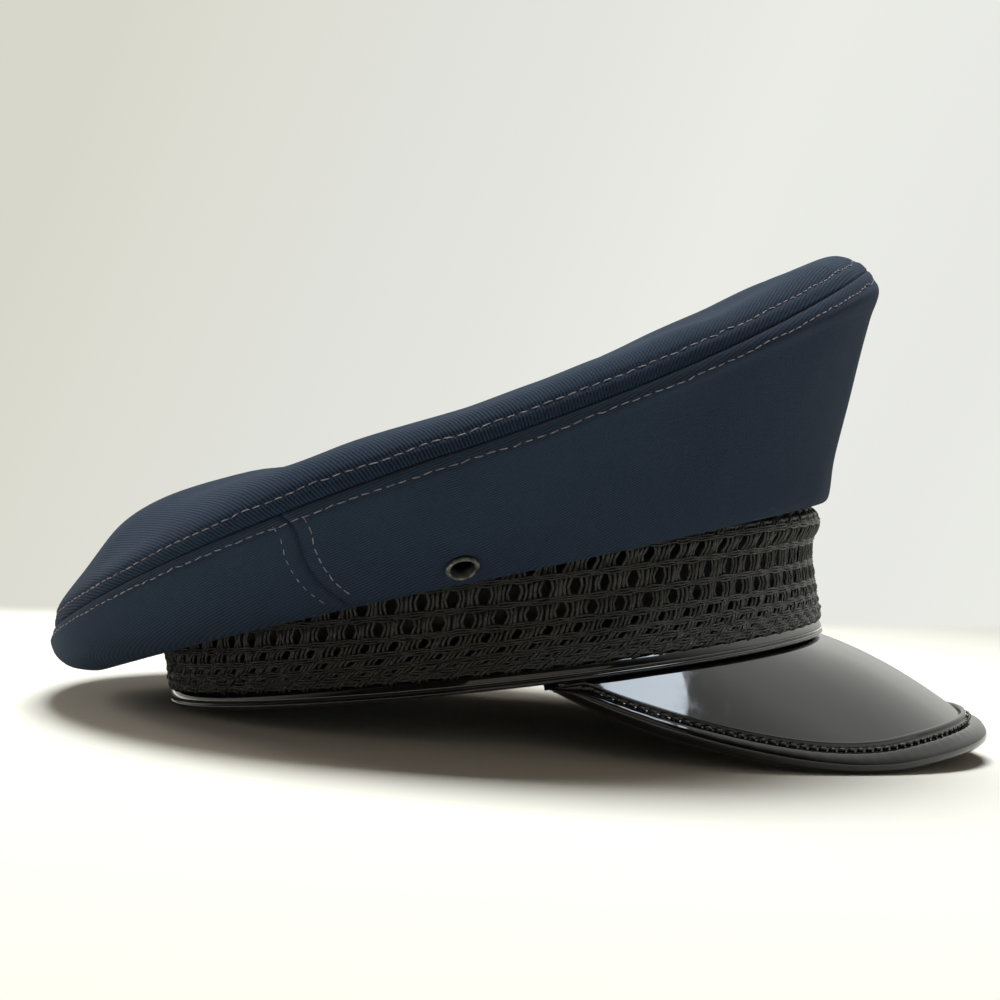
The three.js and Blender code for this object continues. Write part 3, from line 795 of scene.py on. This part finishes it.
def netted_bundles():
    """Hourglass bundles of straw between the rows, staggered from row to row."""
    paths = []
    step = 2 * math.pi / WEAVE_COLUMNS
    for row in range(len(ROW_LINES) - 1):
        low, high = ROW_LINES[row], ROW_LINES[row + 1]
        tall = min(1.0, (high - low) / 5.5)
        slant = 0.14 + (1 - tall) * 0.5
        for column in range(WEAVE_COLUMNS):
            middle = column - row * ROW_SHIFT
            for strand in range(STRANDS):
                across = strand / (STRANDS - 1) * 2 - 1
                key = Vector((row * 3.1, column * 1.7, strand * 2.3))
                loose = noise.noise(key) * 0.06
                width = STRAND_WIDTH + 0.2 * noise.noise(key * 3.0)
                points = []
                for k in range(7):
                    share = k / 6
                    pinch = 1 - PINCH * tall * (1 - abs(2 * share - 1)) ** 0.65
                    start = low - 0.5 + 0.9 * across * across if row == 0 else low
                    place = middle + across * 0.43 * pinch + slant * (share - 0.5) + loose
                    bow = math.sin(math.pi * share) * (0.5 + 0.35 * math.cos(math.pi * across))
                    lift = 0.1 + bow + noise.noise(key * 2.0 + Vector((0, 0, k * 0.6))) * 0.3
                    turn = place * step
                    z = start + (high - start) * share
                    points.append((band_point(turn, z, lift), band_outward(turn)))
                paths.append((points, width, STRAND_DEPTH))
    return paths


def weave(material):
    """The woven band's bundles."""
    bm = threads(netted_bundles(), 5, 6)
    return finished("woven_band_bundles", bm, material, ("woven_band",))


def closed_cord(bm, turns, sides, centre, outward, width, thickness):
    """Adds a ring of cord round the cap."""
    part = bmesh.new()
    bmesh.ops.create_grid(part, x_segments=turns, y_segments=sides, size=0.5)
    for vert in part.verts:
        u, v = vert.co.x + 0.5, vert.co.y + 0.5
        turn, spoke = 2 * math.pi * u, 2 * math.pi * v
        out = outward(turn)
        vert.co = (centre(turn) + out * math.cos(spoke) * thickness
                   - Vector((0, 0, 1)) * math.sin(spoke) * width)
    bmesh.ops.remove_doubles(part, verts=part.verts, dist=0.001)
    bmesh.ops.recalc_face_normals(part, faces=part.faces)
    ring = bpy.data.meshes.new("ring_form")
    part.to_mesh(ring)
    part.free()
    bm.from_mesh(ring)
    bpy.data.meshes.remove(ring)


def weave_cords(material):
    """The level cords that the bundles are netted on, in threes, waving with the net."""
    bm = bmesh.new()
    for row, z in enumerate(ROW_LINES):
        for sign in (-1, 0, 1):
            if row == 0 and sign < 1:
                continue

            def centre(turn, z=z, sign=sign, row=row):
                wave = math.sin(turn * WEAVE_COLUMNS + row * 2.9)
                spot = Vector((math.cos(turn) * 60, math.sin(turn) * 60, row + sign * 0.7))
                rough = noise.noise(spot) + 0.5 * noise.noise(spot * 2.3)
                height = z + sign * 0.62 + 0.14 * sign * wave + rough * 0.35
                return band_point(turn, height, 0.5 + 0.25 * wave + rough * 0.3)

            closed_cord(bm, WEAVE_COLUMNS * 7, 5, centre, band_outward, *CORD)
    return finished("woven_band_cords", bm, material)


def rolled_top(material):
    """The band's top edge, rolled under the crown."""
    bm = bmesh.new()
    for z, lift in ROLL_LINES:
        def centre(turn, z=z, lift=lift):
            wave = math.sin(turn * WEAVE_COLUMNS * 2 + z)
            return band_point(turn, z + 0.2 * wave, lift + 0.25 * wave)

        closed_cord(bm, WEAVE_COLUMNS * 6, 6, centre, band_outward, *ROLL_CORD)
    return finished("woven_band_roll", bm, material)


def oval_ring(section, across, back=0.0):
    """A closed ring whose section is a closed list of (out, z) corners; back moves the
    top of the ring outwards at the very back."""
    bm = bmesh.new()
    count = len(section)
    bmesh.ops.create_grid(bm, x_segments=across, y_segments=count, size=0.5)
    for vert in bm.verts:
        turn = 2 * math.pi * (vert.co.x + 0.5)
        out, z = section[round((vert.co.y + 0.5) * count) % count]
        rearward = ((1 - math.cos(turn)) / 2) ** 3 * z / 40
        vert.co = head_oval(turn, out + back * rearward, z)
    bmesh.ops.remove_doubles(bm, verts=bm.verts, dist=0.001)
    bmesh.ops.recalc_face_normals(bm, faces=bm.faces)
    return bm


def base_binding(material):
    """The glossy strip round the bottom edge, with its rolled lip."""
    section = [(-7.2, 0.0), (0.7, 0.0)]
    for k in range(9):
        turn = math.radians(-100 + 190 * k / 8)
        section.append((1.35 + 0.75 * math.cos(turn), 0.75 + 0.75 * math.sin(turn)))
    section += [(1.95, 1.7), (1.8, 2.6), (1.45, 3.6), (1.0, 4.5), (0.6, 5.0), (0.2, 4.6),
                (-1.0, 1.2), (-7.2, 1.2)]
    bm = oval_ring(section, 300)
    return finished("base_binding_strip", bm, material, ("base_binding",))


def sweatband(material):
    """The leather band inside, with its rolled top edge."""
    out = BAND_PROFILE[0][1] - BAND_WALL - LINING_ROOM
    section = [(out, 1.5), (out, 39.0), (out - 0.5, 39.4), (out - 1.1, 39.2),
               (out - 1.2, 38.0), (out - 1.2, 3.0), (out - 1.0, 1.5)]
    bm = oval_ring(section, 240, back=2.8)
    return finished("sweatband_leather", bm, material, ("sweatband",))


# The peak

def peak_edge(place):
    """The peak's outer edge: place runs along it from -1 to 1."""
    turn = place * math.pi / 2
    x = PEAK_ROOT + (PEAK_TIP - PEAK_ROOT) * math.cos(turn)
    tuck = EDGE_TUCK * max(0.0, (abs(place) - 0.86) / 0.14) ** 1.6
    y = math.copysign(PEAK_HALF_WIDTH * abs(math.sin(turn)) - tuck, place)
    rise = min(1.0, max(0.0, 1 - abs(place)) * 90 / PEAK_DROP_SPAN) * math.pi / 2
    return Vector((x, y, -PEAK_DROP * math.sin(rise) ** PEAK_DROP_SHAPE))


def peak_point(place, share):
    """A point of the peak's top face: share runs from the band to the outer edge."""
    start = head_oval(math.radians(PEAK_END) * place, 0.0, -0.3)
    if share < 0:
        tucked = head_oval(math.radians(PEAK_END) * place, -PEAK_TUCK, -0.3)
        return start.lerp(tucked, min(-share * 20, 1.0))
    point = start.lerp(peak_edge(place), share)
    point.z += PEAK_ARCH * math.cos(math.pi / 2 * place) ** 2 * 4 * share * (1 - share)
    return point


def share_from_edge(place, inward):
    """The share that lies that many millimetres in from the peak's edge. The binding
    narrows where the peak itself runs out."""
    width = (peak_point(place, 1.0) - peak_point(place, 0.02)).length
    room = min(1.0, max(0.12, (width - END_ROOM) / EDGE_WIDTH))
    return 1 - (inward * room if inward > 0 else inward) / width


def peak_frame(place, share):
    """A point of the peak with the direction that stands up from its top face."""
    along = (peak_point(place + 0.01, 0.95) - peak_point(place - 0.01, 0.95)).normalized()
    slope = (peak_point(place, share + 0.01) - peak_point(place, share - 0.01)).normalized()
    return peak_point(place, share), slope.cross(along).normalized()


def peak(material):
    """The lacquered face of the peak, from under the band to inside its binding."""
    def surface(u, v):
        place = EDGE_START * (1 - 2 * u)
        if v <= PEAK_TUCKED:
            return peak_point(place, -0.05 * (1 - v / PEAK_TUCKED))
        flange = share_from_edge(place, 3.0)
        return peak_point(place, 0.02 + (flange - 0.02) * (v - PEAK_TUCKED) / (1 - PEAK_TUCKED))

    bm = mapped_grid(180, 40, surface, lambda u, v: (u, v))
    bmesh.ops.recalc_face_normals(bm, faces=bm.faces)
    if sum(f.normal.z for f in bm.faces) < 0:
        bmesh.ops.reverse_faces(bm, faces=bm.faces)
    return wall(finished("peak_patent", bm, material, ("peak",)), PEAK_WALL)


PEAK_SECTION = (
    (8.5, 0.1), (8.75, 0.8), (8.55, 1.45), (8.0, 1.75), (7.45, 1.55), (7.1, 0.95),
    (6.5, 0.75), (5.4, 0.7), (4.9, 0.95), (4.5, 1.4), (3.7, 1.75), (2.6, 1.9), (1.4, 1.8),
    (0.3, 1.35), (-0.6, 0.6), (-1.15, -0.4), (-1.25, -1.4), (-0.8, -2.4), (0.2, -3.05),
    (1.6, -3.2), (5.4, -3.1), (5.9, -2.7), (5.4, -2.2), (3.0, -2.1), (3.0, 0.2),
)


def peak_binding(material):
    """The bound edge: a rolled outer edge, a stitched groove and a thin inner bead."""
    bm = bmesh.new()
    count = len(PEAK_SECTION)
    across = 220
    bmesh.ops.create_grid(bm, x_segments=across, y_segments=count, size=0.5)
    for vert in bm.verts:
        place = EDGE_START * 2 * vert.co.x
        inward, up = PEAK_SECTION[round((vert.co.y + 0.5) * count) % count]
        point, rise = peak_frame(place, share_from_edge(place, inward))
        pucker = 0.07 * math.sin(place * EDGE_LENGTH / PEAK_STITCH * math.pi)
        vert.co = point + rise * (up + pucker * bell(inward - 3.6, 1.6) * (up > 0))
    bmesh.ops.remove_doubles(bm, verts=bm.verts, dist=0.001)
    bmesh.ops.holes_fill(bm, edges=[e for e in bm.edges if e.is_boundary], sides=0)
    bmesh.ops.recalc_face_normals(bm, faces=bm.faces)
    return finished("peak_binding_patent", bm, material, ("peak_binding",))


def peak_stitches(material):
    """The coarse stitches in the binding's groove."""
    line = []
    for i in range(240):
        place = -0.95 + 1.9 * i / 239
        point, rise = peak_frame(place, share_from_edge(place, GROOVE))
        line.append((point + rise * 1.0, rise))
    stitches = stitch_row(line, 3.0, PEAK_STITCH, PEAK_STITCH_LENGTH, PEAK_THREAD)
    bm = threads(stitches, 6, 4)
    return finished("peak_stitching", bm, material)


# Floor, light and camera

# Metres from the middle to the board's near edge, to its far edge, and to where it
# starts to fade.
FLOOR_FRONT = 0.42
FLOOR_BACK = 0.44
FLOOR_FADE = 0.345
FLOOR_TURN = math.radians(41)  # the far edge of the board runs askew to the camera
CAMERA_AWAY = 0.6
CAMERA_HEIGHT = 0.0706
CAMERA_ROLL = math.radians(4.15)


def studio_floor():
    """Matte pale board. Towards its far edge it fades into a painted backdrop behind the cap, which
    glows of itself and is a little lighter towards the right.
    """
    material, tree, surface = new_material("matte_pale_board", **{
        "Roughness": 0.8, "Specular IOR Level": 0.0})
    spot = node(tree, "ShaderNodeTexCoord").outputs["Object"]
    turned = node(tree, "ShaderNodeMapping", {
        "Vector": spot, "Rotation": (0.0, 0.0, -FLOOR_TURN)})
    parts = node(tree, "ShaderNodeSeparateXYZ", {"Vector": turned.outputs[0]})
    away = node(tree, "ShaderNodeMapRange", {
        "Value": parts.outputs["Y"], "From Min": FLOOR_FADE, "From Max": FLOOR_BACK - 0.005,
        "To Min": 0.0, "To Max": 1.0}, interpolation_type="SMOOTHSTEP")
    colour = node(tree, "ShaderNodeValToRGB", {"Fac": away.outputs[0]},
                  stops=((0.0, "#ecede8"), (1.0, "#000000")))
    # Painted light: the board's far part glows in this colour, lighter towards the right.
    backdrop_glow = node(tree, "ShaderNodeValToRGB", {"Fac": parts.outputs["X"]},
                    stops=((0.0, "#dcddd2"), (0.85, "#ebece6")))
    tree.links.new(colour.outputs["Color"], surface.inputs["Base Color"])
    tree.links.new(backdrop_glow.outputs["Color"], surface.inputs["Emission Color"])
    tree.links.new(away.outputs[0], surface.inputs["Emission Strength"])
    bm = bmesh.new()
    bmesh.ops.create_grid(bm, x_segments=1, y_segments=1, size=3.0)
    across = Matrix.Rotation(FLOOR_TURN, 3, "Z") @ Vector((0.0, 1.0, 0.0))
    nearer = Vector((0.0, -1.0, 0.0))
    for edge, way in ((across * FLOOR_BACK, across), (nearer * FLOOR_FRONT, nearer)):
        bmesh.ops.bisect_plane(bm, geom=bm.verts[:] + bm.edges[:] + bm.faces[:],
                               plane_co=edge, plane_no=way, clear_outer=True)
    mesh = bpy.data.meshes.new("floor")
    bm.to_mesh(mesh)
    bm.free()
    mesh.materials.append(material)
    floor = bpy.data.objects.new("floor", mesh)
    bpy.context.scene.collection.objects.link(floor)


def area_light(name, spot, target, size, power, colour, roll=0.0):
    data = bpy.data.lights.new(name, "AREA")
    data.shape = "RECTANGLE"
    data.size, data.size_y = size
    data.energy = power
    data.color = linear(colour)[:3]
    light = bpy.data.objects.new(name, data)
    light.location = spot
    aim = (Vector(target) - Vector(spot)).to_track_quat("-Z", "Y").to_matrix()
    light.rotation_euler = (aim @ Matrix.Rotation(roll, 3, "Z")).to_euler()
    bpy.context.scene.collection.objects.link(light)
    return light


def pale_room():
    """The surroundings: bright behind the cap, dark behind the camera, and only a weak
    warm bounce as light."""
    world = bpy.data.worlds.new("pale_room")
    world.use_nodes = True
    tree = world.node_tree
    back = tree.nodes["Background"]
    way = node(tree, "ShaderNodeTexCoord").outputs["Generated"]
    parts = node(tree, "ShaderNodeSeparateXYZ", {"Vector": way})
    slant = node(tree, "ShaderNodeVectorMath", {0: way, 1: (1.0, 0.0, -0.35)},
                 operation="DOT_PRODUCT")
    place = node(tree, "ShaderNodeMapRange", {
        "Value": slant.outputs["Value"], "From Min": -0.3, "From Max": 0.3,
        "To Min": 0.0, "To Max": 1.0})
    backdrop_glow = node(tree, "ShaderNodeValToRGB", {"Fac": place.outputs[0]}, stops=(
        (0.0, "#d7d7cb"), (0.1, "#dddcd2"), (0.27, "#e0e1da"), (0.42, "#e4e5df"),
        (0.58, "#ebece6"), (0.83, "#e8e9e4"), (0.95, "#ebece6")))
    behind = node(tree, "ShaderNodeMapRange", {
        "Value": parts.outputs["Y"], "From Min": -0.6, "From Max": 0.06,
        "To Min": 0.03, "To Max": 1.4})
    height = node(tree, "ShaderNodeMapRange", {
        "Value": parts.outputs["Z"], "From Min": 0.0, "From Max": 0.4,
        "To Min": 0.45, "To Max": 1.0})
    mirrored = node(tree, "ShaderNodeMath", {
        0: behind.outputs[0], 1: height.outputs[0]}, operation="MULTIPLY")
    rays = node(tree, "ShaderNodeLightPath")
    tint = node(tree, "ShaderNodeMix", {
        "Factor": rays.outputs["Is Diffuse Ray"], "A": backdrop_glow.outputs["Color"],
        "B": linear("#ffd9ab")}, data_type="RGBA")
    soft = node(tree, "ShaderNodeMix", {
        "Factor": rays.outputs["Is Diffuse Ray"], "A": 1.0, "B": 0.08}, data_type="FLOAT")
    strength = node(tree, "ShaderNodeMix", {
        "Factor": rays.outputs["Is Glossy Ray"], "A": soft.outputs[0],
        "B": mirrored.outputs[0]}, data_type="FLOAT")
    tree.links.new(tint.outputs["Result"], back.inputs["Color"])
    tree.links.new(strength.outputs[0], back.inputs["Strength"])
    bpy.context.scene.world = world


def studio_lights():
    """One large lamp over the cap, with a window at the left and a faint fill in front."""
    area_light("overhead", (0.0, 0.22, 1.3), (0, 0, 0.05), (0.7, 0.7), 24.5, "#fcfdfa")
    softbox = area_light("right_softbox", (0.42, -0.35, 0.95), (0.05, -0.07, 0.02),
                         (0.34, 0.34), 3.4, "#e6f2ff", math.radians(45))
    softbox.visible_diffuse = False  # it only gives the lacquer its bright mirrored patch
    area_light("left_window", (-1.3, 0.6, 0.58), (0, 0, 0.05), (0.5, 0.5), 6, "#fff3e4")
    area_light("front_fill", (0.3, -1.8, 0.8), (0, 0, 0.05), (1.4, 1.0), 2.4, "#fff1de")


def camera():
    """The photograph's view: level with the cap's middle, rolled a little."""
    data = bpy.data.cameras.new("camera")
    data.sensor_width = 36.0
    data.lens = 66.96
    data.shift_x, data.shift_y = -0.009, 0.002
    eye = bpy.data.objects.new("camera", data)
    eye.location = (REST_SHIFT.x * MM, -CAMERA_AWAY, CAMERA_HEIGHT)
    level = Matrix.Rotation(math.radians(90), 3, "X")
    eye.rotation_euler = (level @ Matrix.Rotation(CAMERA_ROLL, 3, "Z")).to_euler()
    bpy.context.scene.collection.objects.link(eye)
    bpy.context.scene.camera = eye


def build_cap():
    """Makes the materials and then every piece."""
    # Two copies of one navy twill. The side's colours, its dark tones most of all, are painted
    # lighter than the top's. They stand in for light that the wall facing the camera does not get.
    top_twill = twill("worsted_twill_top", 0.9, (-25, 24), (-0.02, 0.06),
                      "#080e16", "#293a50", 0.7)
    side_twill_painted_lighter = twill("worsted_twill_side_painted_lighter", 0.72, (68, 62), (-0.05, 0.05),
                       "#1c2532", "#2e3b4e", 0.25)
    straw = synthetic_straw()
    thread = spun_thread()
    gloss = patent("patent_leather", 0.25, 0.4)
    # The binding is thinner leather, creased by its stitches and without the thick coat.
    edge_gloss = patent("patent_leather_binding", 0.6, 0.0)
    crown_top(top_twill)
    crown_sides(side_twill_painted_lighter)
    seam_tape(side_twill_painted_lighter)
    welt_stitches(thread)
    side_seam_stitches(thread)
    eyelets(worn_eyelet_brass())
    weave(straw)
    weave_cords(straw)
    rolled_top(straw)
    base_binding(gloss)
    sweatband(sweat_leather())
    peak(gloss)
    peak_binding(edge_gloss)
    peak_stitches(straw)  # its black thread is as dull and fibrous as the straw


bpy.context.scene.view_settings.view_transform = "Standard"
camera()
studio_floor()
pale_room()
studio_lights()
build_cap()
